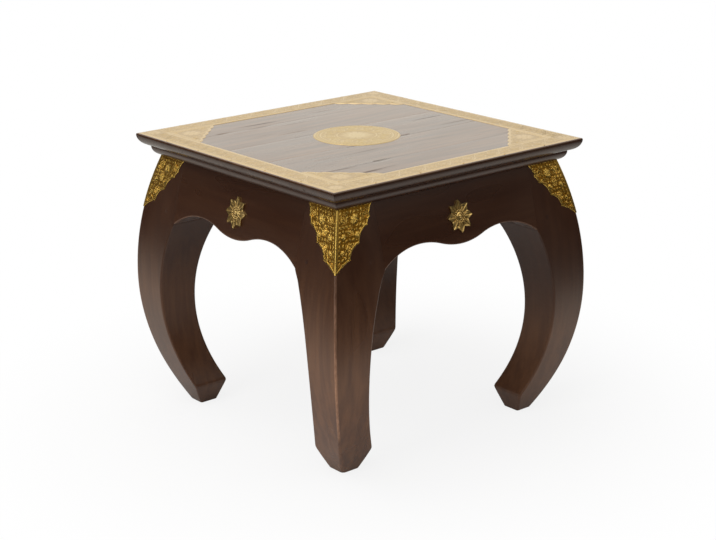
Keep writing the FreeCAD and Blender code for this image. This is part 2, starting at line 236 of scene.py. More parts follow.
def add_node(tree, kind, inputs=None, **settings):
    """Node with its settings, and with a value or a link for each input that is named or numbered."""
    node = tree.nodes.new(kind)
    for name, value in settings.items():
        setattr(node, name, value)
    for key, value in (inputs or {}).items():
        if isinstance(value, bpy.types.NodeSocket):
            tree.links.new(value, node.inputs[key])
        else:
            node.inputs[key].default_value = value
    return node


noise_detail = 4.0
noise_roughness = 0.55


def noise(tree, place, stretch, detail=noise_detail, roughness=noise_roughness):
    """Noise value at a place that is first stretched, so that one unit is one feature across."""
    scaled = add_node(tree, "ShaderNodeVectorMath", {0: place, 1: stretch}, operation="MULTIPLY")
    values = {"Vector": scaled.outputs[0], "Scale": 1.0, "Detail": detail, "Roughness": roughness}
    return add_node(tree, "ShaderNodeTexNoise", values).outputs["Fac"]


def ramp(tree, value, low, high, start=0.0, end=1.0):
    """Value carried from low..high to start..end, level beyond both."""
    values = {"Value": value, "From Min": low, "From Max": high, "To Min": start, "To Max": end}
    return add_node(tree, "ShaderNodeMapRange", values, interpolation_type="SMOOTHSTEP").outputs["Result"]


def mixed(tree, share, first, second):
    """Colour between two colours: inputs 6 and 7 of a Mix node take colours, and output 2 gives one."""
    values = {0: share, 6: first, 7: second}
    return add_node(tree, "ShaderNodeMix", values, data_type="RGBA").outputs[2]


def maths(tree, operation, first, second):
    """Sum, product or the like of two values."""
    return add_node(tree, "ShaderNodeMath", {0: first, 1: second}, operation=operation).outputs[0]


def weighted(tree, start, *terms):
    """Start value plus each value times its weight."""
    total = start
    for value, weight in terms:
        total = maths(tree, "ADD", total, maths(tree, "MULTIPLY", value, weight))
    return total


def colour(red, green, blue):
    """Linear colour with full alpha from eight-bit display values, by the standard display curve."""
    share = np.array([red, green, blue]) / 255
    linear = np.where(share <= 0.04045, share / 12.92, ((share + 0.055) / 1.055) ** 2.4)
    return (*linear.tolist(), 1.0)


def new_group(name, inputs, outputs):
    """Node group with named sockets, and its input and output nodes."""
    group = bpy.data.node_groups.new(name, "ShaderNodeTree")
    for in_out, sockets in (("INPUT", inputs), ("OUTPUT", outputs)):
        for socket, kind in sockets.items():
            group.interface.new_socket(name=socket, in_out=in_out, socket_type="NodeSocket" + kind)
    return group, group.nodes.new("NodeGroupInput"), group.nodes.new("NodeGroupOutput")


streak_stretch = (7.0, 95.0, 95.0)
streak_range = (0.33, 0.68)
streak_detail = 5.0
streak_roughness = 0.62
cloud_stretch = (4.0, 14.0, 14.0)
cloud_range = (0.3, 0.7)
cloud_detail = 2.0
cloud_share = 0.35
pore_stretch = (28.0, 900.0, 900.0)
pore_range = (0.56, 0.72)
pore_detail = 2.0
pore_share = 0.3
crack_stretch = (6.0, 150.0, 150.0)
crack_range = (0.66, 0.76)
crack_detail = 1.0
wear_stretch = (14.0, 45.0, 45.0)
wear_range = (0.36, 0.62)
wear_least = 0.5
wear_line_range = (0.72, 1.0)
scuff_stretch = (130.0, 400.0, 400.0)
scuff_range = (0.3, 0.75)
scuff_detail = 3.0
scuff_least = 0.5


def timber_group():
    """Figure of plain sawn hardwood: long streaks, fine pores, broad clouds and dry dark cracks."""
    group, given, result = new_group(
        "timber_figure",
        {"Place": "Vector", "Dark": "Color", "Light": "Color", "Streaks": "Float", "Cracked": "Float"},
        {"Color": "Color", "Pores": "Float", "Clouds": "Float", "Cracks": "Float"})
    place = given.outputs["Place"]
    streak = noise(group, place, streak_stretch, streak_detail, streak_roughness)
    streak = ramp(group, streak, *streak_range)
    clouds = ramp(group, noise(group, place, cloud_stretch, cloud_detail), *cloud_range)
    pores = ramp(group, noise(group, place, pore_stretch, pore_detail), *pore_range)
    cracks = ramp(group, noise(group, place, crack_stretch, crack_detail), *crack_range)
    cracks = maths(group, "MULTIPLY", cracks, given.outputs["Cracked"])
    share = maths(group, "MULTIPLY", streak, given.outputs["Streaks"])
    share = weighted(group, share, (clouds, cloud_share))
    figure = mixed(group, share, given.outputs["Dark"], given.outputs["Light"])
    hollow = maths(group, "MAXIMUM", maths(group, "MULTIPLY", pores, pore_share), cracks)
    pored = mixed(group, hollow, figure, given.outputs["Dark"])
    for socket, value in (("Color", pored), ("Pores", pores), ("Clouds", clouds), ("Cracks", cracks)):
        group.links.new(value, result.inputs[socket])
    return group


def wear_group():
    """Lacquer rubbed through along the arrises, in patches, down to warmer bare wood."""
    group, given, result = new_group(
        "worn_arris",
        {"Place": "Vector", "Color": "Color", "Worn": "Color", "Edge": "Float", "Thin": "Float"},
        {"Color": "Color", "Mask": "Float"})
    patch = noise(group, given.outputs["Place"], wear_stretch)
    scuff = noise(group, given.outputs["Place"], scuff_stretch, scuff_detail)
    mask = maths(group, "MULTIPLY", ramp(group, patch, *wear_range, wear_least, 1.0),
                 ramp(group, scuff, *scuff_range, scuff_least, 1.0))
    mask = maths(group, "MULTIPLY", mask, ramp(group, given.outputs["Edge"], *wear_line_range))
    mask = maths(group, "MULTIPLY", mask, given.outputs["Thin"])
    worn = mixed(group, mask, given.outputs["Color"], given.outputs["Worn"])
    group.links.new(worn, result.inputs["Color"])
    group.links.new(mask, result.inputs["Mask"])
    return group


timber_figure = timber_group()
worn_arris = wear_group()


def cleared_tree(owner):
    """Node tree of a material or a world, with nothing in it."""
    owner.use_nodes = True
    owner.node_tree.nodes.clear()
    return owner.node_tree


def new_material(name):
    """Material whose tree holds only a Principled shader and the output that it feeds."""
    material = bpy.data.materials.new(name)
    tree = cleared_tree(material)
    shader = add_node(tree, "ShaderNodeBsdfPrincipled")
    add_node(tree, "ShaderNodeOutputMaterial", {"Surface": shader.outputs[0]})
    return material, tree, shader


def trait(tree, name, output):
    """Value of one of the mesh's own named traits."""
    return add_node(tree, "ShaderNodeAttribute", attribute_name=name).outputs[output]


def add_bump(tree, shader, height, strength, depth):
    """Fine unevenness of a finish: its height bends the shader's normal."""
    bump = add_node(tree, "ShaderNodeBump", {"Height": height, "Strength": strength, "Distance": depth})
    tree.links.new(bump.outputs[0], shader.inputs["Normal"])


# The stain mixes the wood toward its colour as painted shade as well as stain, and holds back the wear.
stain_and_shade_share = 0.82
stain_and_shade_guard = 0.8
stain_and_shade_colour = colour(46, 21, 9)
cloud_haze = 0.10
wear_haze = 0.25
crack_haze = 0.3
crack_coat_loss = -0.8
pore_strength = 0.12
pore_depth = 0.0002
wood_specular = 0.42


def lacquered_wood(name, dark, light, worn, gloss, streaks, cracked=0.0, polish_coat=0.0):
    """Dark stained wood under lacquer, with worn arrises; the figure follows the piece's own grain.

    Its stain trait darkens it, partly as painted shade; a polish coat lies only where that is thin.
    """
    material, tree, shader = new_material(name)
    place = trait(tree, "grain", "Vector")
    figure = add_node(tree, "ShaderNodeGroup", node_tree=timber_figure)
    for socket, value in (("Dark", dark), ("Light", light), ("Streaks", streaks), ("Cracked", cracked)):
        figure.inputs[socket].default_value = value
    tree.links.new(place, figure.inputs["Place"])
    stain_and_shade = trait(tree, "stain_and_shade", "Fac")
    depth = maths(tree, "MULTIPLY", stain_and_shade, stain_and_shade_share)
    stained_and_shaded = mixed(tree, depth, figure.outputs["Color"], stain_and_shade_colour)
    thin = maths(tree, "SUBTRACT", 1.0, maths(tree, "MULTIPLY", stain_and_shade, stain_and_shade_guard))
    wear = add_node(tree, "ShaderNodeGroup", node_tree=worn_arris)
    wear.inputs["Worn"].default_value = worn
    for socket, value in (("Place", place), ("Color", stained_and_shaded), ("Edge", trait(tree, "edge", "Fac")),
                          ("Thin", thin)):
        tree.links.new(value, wear.inputs[socket])
    tree.links.new(wear.outputs["Color"], shader.inputs["Base Color"])
    rough = weighted(tree, gloss, (figure.outputs["Clouds"], cloud_haze), (wear.outputs["Mask"], wear_haze),
                     (figure.outputs["Cracks"], crack_haze))
    tree.links.new(rough, shader.inputs["Roughness"])
    if polish_coat > 0:
        coated = weighted(tree, polish_coat, (figure.outputs["Cracks"], polish_coat * crack_coat_loss))
        coated = maths(tree, "MULTIPLY", coated, maths(tree, "SUBTRACT", 1.0, stain_and_shade))
        tree.links.new(coated, shader.inputs["Coat Weight"])
        shader.inputs["Coat Roughness"].default_value = gloss
    height = maths(tree, "MULTIPLY", figure.outputs["Pores"], -1.0)
    add_bump(tree, shader, height, pore_strength, pore_depth)
    shader.inputs["Specular IOR Level"].default_value = wood_specular
    return material


frame_wood = lacquered_wood(
    "frame_wood", dark=colour(91, 57, 36), light=colour(131, 88, 56), worn=colour(184, 138, 108),
    gloss=0.27, streaks=0.5)

leg_points, leg_edge, leg_grain = leg_loft()
for quarter, corner in enumerate(CORNERS):
    # Darker high up and by leg: stain with painted shade.
    stain_and_shade = stain_and_shade_depth(leg_points[..., 2] + leg_painted_shade_shifts[quarter])
    traits = {"edge": leg_edge, "grain": leg_grain + quarter * leg_grain_step,
              "stain_and_shade": np.maximum(stain_and_shade, leg_painted_shade_least[quarter])}
    make_piece(f"leg_{corner}_shaped", [(turned(leg_points, quarter), traits)], frame_wood,
               [f"leg_{corner}"])


# Aprons. Four boards between the legs, bowed outside to carry the legs' face across and flat inside,
# with the lower edge fretted to a drop between two crowns. Their tenons are pegged in the legs.
apron_inner_reach = -apron_high.y
crown_height = 0.3104
crown_place = 0.075
drop_height = 0.2972
apron_arris = 0.0012
apron_rows = 160
apron_face_steps = 44
apron_short_steps = 6
apron_grain_start = np.array([0.0, 0.4, 0.0])
apron_grain_step = np.array([1.3, 0.0, 0.2])


def apron_edge_height(across):
    """Lower edge: an arc at the drop, one at each crown, meeting half way, and one out to each end."""
    place = np.abs(across)
    waist_place = crown_place / 2
    waist_height = (crown_height + drop_height) / 2
    drop = bowed(place, drop_height, 0.0, waist_height, waist_place)
    crown = bowed(place, crown_height, crown_place, waist_height, waist_place)
    end = bowed(place, crown_height, crown_place, shoulder_height, shoulder_reach)
    return np.where(place < waist_place, drop, np.where(place < crown_place, crown, end))


def apron_loft():
    """Section of the front apron carried across it: inner face, fretted edge, then the bowed face."""
    across = np.linspace(-shoulder_reach, shoulder_reach, apron_rows)[:, None]
    low = apron_edge_height(across)
    share = np.linspace(0, 1, apron_short_steps)[None, :]
    face_share = np.linspace(0, 1, apron_face_steps)[None, :]
    turn = np.linspace(0, np.pi / 2, corner_steps)[None, 1:-1]
    bend = low + apron_arris
    outer_bend = face_reach(bend) - apron_arris
    inner_bend = apron_inner_reach + apron_arris
    face = bend + (leg_top - bend) * face_share
    still = np.zeros_like(low)
    height = np.concatenate([
        leg_top + (bend - leg_top) * share,
        bend - apron_arris * np.sin(turn),
        low + still * share,
        bend - apron_arris * np.cos(turn),
        face], axis=1)
    reach = np.concatenate([
        apron_inner_reach + still * share,
        inner_bend - apron_arris * np.cos(turn) + still,
        inner_bend + (outer_bend - inner_bend) * share,
        outer_bend + apron_arris * np.sin(turn),
        face_reach(face)], axis=1)
    x = np.broadcast_to(across, height.shape)
    to_edge = np.hypot(np.maximum(outer_bend - reach, 0), np.maximum(height - bend, 0))
    edge = np.exp(-to_edge / edge_fade)
    return np.stack([x, -reach, height], axis=-1), edge, np.stack([x, reach, height], axis=-1)


apron_points, apron_edge, apron_grain = apron_loft()
# The aprons darken towards their tops: stain with painted shade under the top.
for quarter, side in enumerate(SIDES):
    traits = {"edge": apron_edge, "grain": apron_grain + apron_grain_start + quarter * apron_grain_step,
              "stain_and_shade": stain_and_shade_depth(apron_points[..., 2])}
    make_piece(f"apron_{side}_shaped", [(turned(apron_points, quarter), traits)], frame_wood,
               [f"apron_{side}"])


# Moulding rails. A mitred frame of four rails under the top, with a small round, a flat and a bulging
# slope on the outer edge. The rails are glued to the top and screwed up through the cleats.
rail_low, rail_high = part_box("moulding_front")
rail_arris = 0.001
rail_edge_flat = 0.0027
rail_round_in = 0.0090
rail_round_bulge = 0.0022
rail_rows = 60
round_steps = 14
rail_grain_start = np.array([0.0, 0.0, 0.5])
rail_grain_step = np.array([0.9, 0.1, 0.0])


def moulded_edge(reach, top, bottom, arris, edge_flat, round_in, bulge):
    """Edge section from the top face down: a quarter round, a flat, and an arc that leans in below.

    The arc stands off its chord c by the bulge b, so it turns by 2 atan(2b / c) each way from its middle.
    """
    turn = np.linspace(0, np.pi / 2, corner_steps)
    crown = np.stack([reach - arris + arris * np.sin(turn), top - arris + arris * np.cos(turn)], axis=-1)
    start = np.array([reach, top - edge_flat])
    chord = np.array([reach - round_in, bottom]) - start
    length = np.hypot(*chord)
    square = np.array([-chord[1], chord[0]]) / length
    half_turn = 2 * math.atan(2 * bulge / length)
    radius = length / 2 / math.sin(half_turn)
    lean = np.linspace(-half_turn, half_turn, round_steps)[:, None]
    share = 1 / 2 + radius * np.sin(lean) / length
    slope = start + chord * share + square * radius * (np.cos(lean) - math.cos(half_turn))
    return crown, slope


def rail_loft():
    """Section of the front rail carried from mitre to mitre: x is a share of the reach."""
    reach = -rail_low.y
    inner = -rail_high.y
    crown, slope = moulded_edge(
        reach, rail_high.z, rail_low.z, rail_arris, rail_edge_flat, rail_round_in, rail_round_bulge)
    back = np.array([[inner, rail_low.z], [inner, rail_high.z]])
    section = np.concatenate([back, crown, slope])
    along = np.linspace(-1, 1, rail_rows)[:, None]
    x = along * section[:, 0]
    y = np.broadcast_to(-section[:, 0], x.shape)
    z = np.broadcast_to(section[:, 1], x.shape)
    return np.stack([x, y, z], axis=-1), np.stack([x, -y, z], axis=-1)


rail_points, rail_grain = rail_loft()
unworn = np.zeros(rail_points.shape[:2])
# The rails take the full stain, with painted shade under the top.
for quarter, side in enumerate(SIDES):
    traits = {"edge": unworn, "grain": rail_grain + rail_grain_start + quarter * rail_grain_step,
              "stain_and_shade": stain_and_shade_depth(rail_points[..., 2])}
    make_piece(f"moulding_{side}_shaped", [(turned(rail_points, quarter), traits)], frame_wood,
               [f"moulding_{side}"])


# Top planks. Five planks, edge-glued from left to right, run from front to back. The glued seams are
# all but closed, and three have opened a little on part of their length. The outer edge is rounded
# above and rolls in below. The upper face is polished. The edge is satin as on the frame, and
# stained darker with painted shade.
plank_count = 5
board_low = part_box("top_plank_1")[0]
board_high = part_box(f"top_plank_{plank_count}")[1]
half_top = board_high.x
board_arris = 0.002
board_edge_flat = 0.0025
board_round_in = 0.0112
board_round_bulge = 0.0028
seam_width = 0.0003
seam_closed_depth = 0.00003
seam_open_depth = 0.0004
seam_fade_share = 0.25
seam_open_shares = ((-0.9, -0.5), (-2.0, -1.5), (0.1, 1.2), (-1.2, -0.2))
no_seam = -1
plank_steps = 14
plank_face_steps = 60
plank_edge_steps = 26
plank_grain_step = np.array([0.8, 0.25, 0.0])
mirror_left = np.array([-1.0, 1.0, 1.0])

board_crown, board_slope = moulded_edge(
    half_top, board_high.z, board_low.z, board_arris, board_edge_flat, board_round_in, board_round_bulge)
board_section = np.concatenate([board_crown, board_slope])


def board_reach(height):
    """Reach of the board's edge at a height, from its section."""
    return np.interp(height, board_section[::-1, 1], board_section[::-1, 0])


def plank_rows(left, right):
    """Places across a plank, with the heights of its upper and lower face there.

    The faces follow the moulded edge at the sides of the table.
    """
    inside = np.linspace(left, right, plank_steps)[1:-1]
    across = np.concatenate([[left, left + seam_width], inside, [right - seam_width, right]])
    upper = np.full_like(across, board_high.z)
    lower = np.full_like(across, board_low.z)
    if right > half_top - seam_width:
        sides = np.unique(board_section[:, 0])
        across = np.concatenate([across[across < sides[0] - seam_width], sides])
        upper = np.interp(across, board_crown[:, 0], board_crown[:, 1])
        lower = np.interp(across, board_slope[::-1, 0], board_slope[::-1, 1])
    return across, upper, lower


def seam_dip(seam, sweep):
    """Depth of a seam along its length: all but closed, and open between two places."""
    if seam not in range(len(seam_open_shares)):
        return np.zeros_like(sweep)
    start, end = seam_open_shares[seam]
    opened = smooth_step((sweep - start) / seam_fade_share) * smooth_step((end - sweep) / seam_fade_share)
    return seam_closed_depth + (seam_open_depth - seam_closed_depth) * opened


def plank_loft(left, right, left_seam, right_seam):
    """Section of a plank from back to front and round under it, carried across the plank."""
    across, upper, lower = plank_rows(left, right)
    upper, lower = upper[:, None], lower[:, None]
    sweep = np.linspace(1, -1, plank_face_steps)[None, :]
    drop = (1 - np.cos(np.linspace(0, np.pi, plank_edge_steps)))[None, 1:-1] / 2
    down = upper + (lower - upper) * drop
    up = down[:, ::-1]
    still = np.zeros_like(sweep)
    top = upper + still
    top[:1] -= seam_dip(left_seam, sweep)
    top[-1:] -= seam_dip(right_seam, sweep)
    y = np.concatenate([
        board_reach(upper) * sweep, -board_reach(down),
        -board_reach(lower) * sweep, board_reach(up)], axis=1)
    z = np.concatenate([top, down, lower + still, up], axis=1)
    x = np.broadcast_to(across[:, None], y.shape)
    # The edge below the top face is darkened as painted shade, and has no polish coat.
    stain_and_shade = smooth_step((board_high.z - z) / board_arris)
    return np.stack([x, y, z], axis=-1), stain_and_shade


top_wood = lacquered_wood(
    "top_wood", dark=colour(70, 43, 24), light=colour(122, 84, 50), worn=colour(150, 104, 70),
    gloss=0.24, streaks=0.6, cracked=1.0, polish_coat=0.9)

plank_width = 2 * half_top / plank_count
for index in range(plank_count):
    left = index * plank_width - half_top
    right = left + plank_width
    if index == 0:
        points, stain_and_shade = plank_loft(-right, -left, index, no_seam)
        points = points * mirror_left
    else:
        points, stain_and_shade = plank_loft(left, right, index - 1, index)
    traits = {"edge": np.zeros_like(stain_and_shade), "grain": points[..., [1, 0, 2]] + index * plank_grain_step,
              "stain_and_shade": stain_and_shade}
    make_piece(f"top_plank_{index + 1}_shaped", [(points, traits)], top_wood,
               [f"top_plank_{index + 1}"])


# Tenon pegs. Sixteen round pegs across the tenons, cut off and sanded with the legs' faces. The lower
# eight show as small discs, half of them a little paler than the leg, and the rest lie under brass.
peg_radius = 0.003
peg_place = 0.162
peg_heights = (0.3032, 0.3582)
peg_rise = 0.00012
peg_crown_power = 4
peg_sink = 0.002
peg_rings = 5
peg_columns = 20
peg_stain_and_shade_shares = {1: 1.0, -1: 0.55}
peg_grain_stretch = np.array([1.0, 3.0, 3.0])


def once_round(columns):
    """Row of angles spread evenly over one turn."""
    return np.linspace(0, 2 * np.pi, columns, endpoint=False)[None, :]


def peg_loft(side, height):
    """Disc on the front face about a point: rings raised as 1 - share^power, then a rim sunk in."""
    share = np.concatenate([np.linspace(0, 1, peg_rings), [1.0]])[:, None]
    angle = once_round(peg_columns)
    proud = peg_rise * (1 - share ** peg_crown_power)
    proud[-1] = -peg_sink
    x = side * peg_place + peg_radius * share * np.cos(angle)
    z = height + peg_radius * share * np.sin(angle)
    reach = face_reach(z) + proud
    grain = np.stack([reach, x, z], axis=-1) * peg_grain_stretch
    # Stain with painted shade by height, lighter on half the pegs, which are paler wood.
    stain_and_shade = stain_and_shade_depth(z) * peg_stain_and_shade_shares[side]
    return np.stack([x, -reach, z], axis=-1), {"edge": np.zeros_like(x), "grain": grain, "stain_and_shade": stain_and_shade}


peg_wood = lacquered_wood(
    "peg_wood", dark=colour(62, 38, 25), light=colour(104, 68, 46), worn=colour(168, 130, 100),
    gloss=0.34, streaks=0.6)

peg_lofts = []
for quarter in range(len(SIDES)):
    for side in (-1, 1):
        for height in peg_heights:
            points, traits = peg_loft(side, height)
            peg_lofts.append((turned(points, quarter), traits))
make_piece("tenon_pegs_shaped", peg_lofts, peg_wood, ["tenon_pegs"])


# Cleats and screws. Four plain bars of paler unfinished wood inside the aprons, and the zinc-plated
# countersunk screws through them, into the aprons and up into the rails and the top. All of them keep
# their solids.
bare_dark = colour(128, 88, 58)
bare_light = colour(186, 142, 100)
bare_rough_range = (0.62, 0.8)
bare_streaks = 0.7
zinc_dull = colour(150, 150, 148)
zinc_bright = colour(196, 197, 198)
zinc_stretch = (400.0, 400.0, 400.0)
zinc_patch_range = (0.3, 0.7)
zinc_rough_range = (0.32, 0.5)


def bare_wood(name, turn):
    """Planed wood with no finish, its grain along X and turned about the upright axis."""
    material, tree, shader = new_material(name)
    place = add_node(tree, "ShaderNodeTexCoord").outputs["Object"]
    along = add_node(tree, "ShaderNodeMapping", {"Vector": place, "Rotation": (0.0, 0.0, turn)})
    figure = add_node(tree, "ShaderNodeGroup", node_tree=timber_figure)
    tree.links.new(along.outputs[0], figure.inputs["Place"])
    for socket, value in (("Dark", bare_dark), ("Light", bare_light), ("Streaks", bare_streaks)):
        figure.inputs[socket].default_value = value
    tree.links.new(figure.outputs["Color"], shader.inputs["Base Color"])
    rough = ramp(tree, figure.outputs["Clouds"], 0.0, 1.0, *bare_rough_range)
    tree.links.new(rough, shader.inputs["Roughness"])
    return material


def zinc_plate():
    """Dull zinc over steel, with faint cloudy patches."""
    material, tree, shader = new_material("zinc_plate")
    place = add_node(tree, "ShaderNodeTexCoord").outputs["Object"]
    patch = noise(tree, place, zinc_stretch)
    shade = mixed(tree, ramp(tree, patch, *zinc_patch_range), zinc_dull, zinc_bright)
    tree.links.new(shade, shader.inputs["Base Color"])
    tree.links.new(ramp(tree, patch, *zinc_patch_range, *zinc_rough_range), shader.inputs["Roughness"])
    shader.inputs["Metallic"].default_value = 1.0
    return material


def refinish(node, material):
    """Gives a solid that stays in view a new finish."""
    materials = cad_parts[node].data.materials
    materials.clear()
    materials.append(material)


cleat_woods = [bare_wood("cleat_wood_across", 0.0), bare_wood("cleat_wood_along", math.pi / 2)]
for quarter, side in enumerate(SIDES):
    refinish(f"cleat_{side}", cleat_woods[quarter % len(cleat_woods)])
screw_zinc = zinc_plate()
for node in ("top_screws", "apron_screws"):
    refinish(node, screw_zinc)


# Border strips. Four strips of thin brass sheet, mitred at the corners and pinned round the top with
# their outer edge bent down on the arris. A running stem with a scroll in each bay is hammered up
# between two plain rims, over a ground of small leaves, and a flower fills each corner.
strip_low, strip_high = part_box("border_strip_front")
border_outer = -strip_low.y
border_inner = -strip_high.y
border_width = border_outer - border_inner
sheet_foot = strip_low.z
ground_rise = 0.0004
relief_rise = 0.0004
plain_share = 0.5
ground_share = 0.55
rim_line_width = 0.0011
sheet_edge_round = 0.0008
sheet_bend_width = 0.0050
border_bay_count = 17
border_flower_radius = 0.0115
border_flower_petals = 8
border_swing = 0.0095
border_scroll_radius = 0.0090
border_stem_width = 0.0013
border_panel_half = 0.0118
border_rows = 720
border_columns = 56
relief_sharp_degrees = 60.0
leaf_pitch = 0.0054
leaf_turn_steps = (2.4, 4.1, 1.7)
leaf_half_width_share = 0.26
leaf_point_share = 0.05
leaf_rib_share = 0.35
leaf_rib_width_share = 0.5
petal_notch = 0.3
petal_swell = 0.7
petal_groove = 0.3
petal_height = 0.7
eye_share = 0.2
eye_ring_share = 0.4
eye_ring_width_share = 0.12
scroll_turns = 1.6
stem_share = 0.2
lobe_count = 8
lobe_place_share = 0.46
lobe_width_share = 0.32
lobe_slant = 2.2
lobe_share = 0.8
heart_share = 0.38
heart_petals = 6
scroll_edge_steepness = 10.0
ground_clearance = 1.02
ground_steepness = 6.0


def ridge(offset, half_width):
    """Rounded ridge: (1 + cos) / 2 of the offset, one on its line and zero at its half width."""
    return (1 + np.cos(np.pi * np.clip(np.abs(offset) / half_width, 0, 1))) / 2


def leaf_ground(first, second, pitch):
    """Ground of small pointed leaves, one to each square cell, each with a rib and a lean of its own.

    A leaf narrows to its ends as a cosine of its length, and is rounded across as sqrt(1 - share^2).
    """
    column = np.round(first / pitch)
    row = np.round(second / pitch)
    column_step, row_step, mixed_step = leaf_turn_steps
    lean = column_step * column + row_step * row + mixed_step * column * row
    across, along = first - column * pitch, second - row * pitch
    length = across * np.cos(lean) + along * np.sin(lean)
    width = np.abs(across * np.sin(lean) - along * np.cos(lean))
    half = np.maximum(np.cos(np.pi * np.clip(length / pitch, -1 / 2, 1 / 2)), leaf_point_share)
    share = np.clip(width / (leaf_half_width_share * pitch * half), 0, 1)
    return np.sqrt(1 - share ** 2) * (1 - leaf_rib_share * ridge(share, leaf_rib_width_share))


def flower(across, along, radius, petal_count, turn=0.0):
    """Open flower: round petals within radius * (1 - n + n |cos|), parted by grooves, and a ringed eye."""
    reach = np.hypot(across, along) / radius
    lobe = np.abs(np.cos(petal_count * (np.arctan2(along, across) + turn) / 2))
    edge = 1 - petal_notch + petal_notch * lobe
    swell = np.sin(np.pi * np.clip(reach / edge, 0, 1)) ** petal_swell
    petal = swell * smooth_step(lobe / petal_groove)
    petal = petal * (1 - petal_groove * ridge(1 - lobe, petal_groove))
    eye = np.sqrt(np.clip(1 - (reach / eye_share) ** 2, 0, 1))
    ring = ridge(reach - eye_ring_share, eye_ring_width_share)
    return np.maximum(petal_height * petal, np.maximum(eye, ring))


def scroll(across, along, radius, hand):
    """Curling leaf on the spiral r = radius * angle / turns, lobed outside its stem.

    A small flower fills the middle of the curl.
    """
    reach = np.hypot(across, along) / radius
    angle = hand * (np.arctan2(along, across) / (2 * np.pi) + 1 / 4)
    arm = reach * scroll_turns - angle
    outward = arm % 1
    stem = ridge(arm - np.round(arm), stem_share)
    beat = np.abs(np.sin(np.pi * lobe_count * (angle + np.floor(arm)) + lobe_slant * outward))
    lobes = lobe_share * beat * ridge(outward - lobe_place_share, lobe_width_share)
    inside = smooth_step((1 - reach) * scroll_edge_steepness)
    inside = inside * smooth_step((reach - heart_share) * scroll_edge_steepness)
    heart = flower(across, along, heart_share * radius, heart_petals, hand)
    return np.maximum(np.maximum(stem, lobes) * inside, heart)


def scroll_hand(index):
    """Hand of a scroll in a row, turn and turn about: 1 or -1."""
    return 1 - 2 * (index % 2)


def ornament(first, second, scrolls, flowers, pitch=leaf_pitch, ground=ground_share):
    """Relief of scrolls and flowers at their places and sizes, with a leafy ground between them."""
    relief = np.zeros_like(first)
    clear = np.full_like(first, np.inf)
    motifs = [(scroll, *row) for row in scrolls] + [(flower, *row) for row in flowers]
    for motif, across, along, radius, kind in motifs:
        relief = np.maximum(relief, motif(first - across, second - along, radius, kind))
        clear = np.minimum(clear, np.hypot(first - across, second - along) / radius)
    bare = smooth_step((clear - ground_clearance) * ground_steepness)
    return np.maximum(relief, ground * leaf_ground(first, second, pitch) * bare)


def border_relief(x, inward):
    """Relief of a strip at a place along it and a distance in from its outer edge.

    The stem swings from side to side as a cosine, round one scroll in each bay.
    """
    bay = 2 * border_inner / border_bay_count
    last_bay = border_bay_count // 2
    middle = inward - border_width / 2
    swing = border_swing * np.cos(np.pi * x / bay)
    stem = ridge(middle - swing, border_stem_width) * (np.abs(x) < border_inner)
    cells = range(-last_bay, last_bay + 1)
    scrolls = [(cell * bay, 0.0, border_scroll_radius, scroll_hand(cell)) for cell in cells]
    mitre = border_inner + border_width / 2
    flowers = [(end, 0.0, border_flower_radius, border_flower_petals) for end in (-mitre, mitre)]
    panel = np.maximum(stem, ornament(x, middle, scrolls, flowers))
    panel = np.maximum(panel, ridge(np.abs(x) - border_inner, rim_line_width))
    panel = np.where(np.abs(middle) < border_panel_half, panel, plain_share)
    return np.maximum(panel, ridge(np.abs(middle) - border_panel_half, rim_line_width))


def rounded_fall(to_edge, radius):
    """Share of full height near an edge: a quarter round over the radius."""
    return np.sqrt(1 - np.clip(1 - to_edge / radius, 0, 1) ** 2)


def sheet_height(relief, fall):
    """Height of a flat sheet's face: its foot, then its ground and relief times the fall at an edge."""
    return sheet_foot + (ground_rise + relief_rise * relief) * fall


def border_loft():
    """Face of the front strip from its outer to its inner edge, carried from mitre to mitre."""
    inward = np.linspace(0, border_width, border_columns)
    reach = border_outer - inward
    x = np.linspace(-1, 1, border_rows)[:, None] * reach
    relief = border_relief(x, inward + np.zeros_like(x))
    fall = smooth_step(inward / sheet_bend_width) * rounded_fall(border_width - inward, sheet_edge_round)
    y = np.broadcast_to(-reach, x.shape)
    return np.stack([x, y, sheet_height(relief, fall)], axis=-1), relief


patch_stretch = (35.0, 35.0, 35.0)
patch_detail = 3.0
patch_share = 0.5
speck_stretch = (650.0, 650.0, 650.0)
speck_detail = 3.0
speck_roughness = 0.7
speck_share = 0.3
rubbed_range = (0.35, 1.05)
sheet_rough = (0.43, 0.33)
coat_rough = 0.5
speck_strength = 0.2
speck_depth = 0.0003


def tarnish_group():
    """Old brass: dark and dull in the hollows, rubbed bright on the high places, in cloudy patches."""
    group, given, result = new_group(
        "tarnish",
        {"Place": "Vector", "Relief": "Float", "Bright": "Color", "Dark": "Color"},
        {"Color": "Color", "Rubbed": "Float", "Height": "Float"})
    patch = noise(group, given.outputs["Place"], patch_stretch, patch_detail)
    speck = noise(group, given.outputs["Place"], speck_stretch, speck_detail, speck_roughness)
    rubbed = weighted(group, given.outputs["Relief"], (patch, patch_share), (speck, speck_share))
    rubbed = ramp(group, rubbed, *rubbed_range)
    shade = mixed(group, rubbed, given.outputs["Dark"], given.outputs["Bright"])
    group.links.new(shade, result.inputs["Color"])
    group.links.new(rubbed, result.inputs["Rubbed"])
    group.links.new(speck, result.inputs["Height"])
    return group


tarnish = tarnish_group()


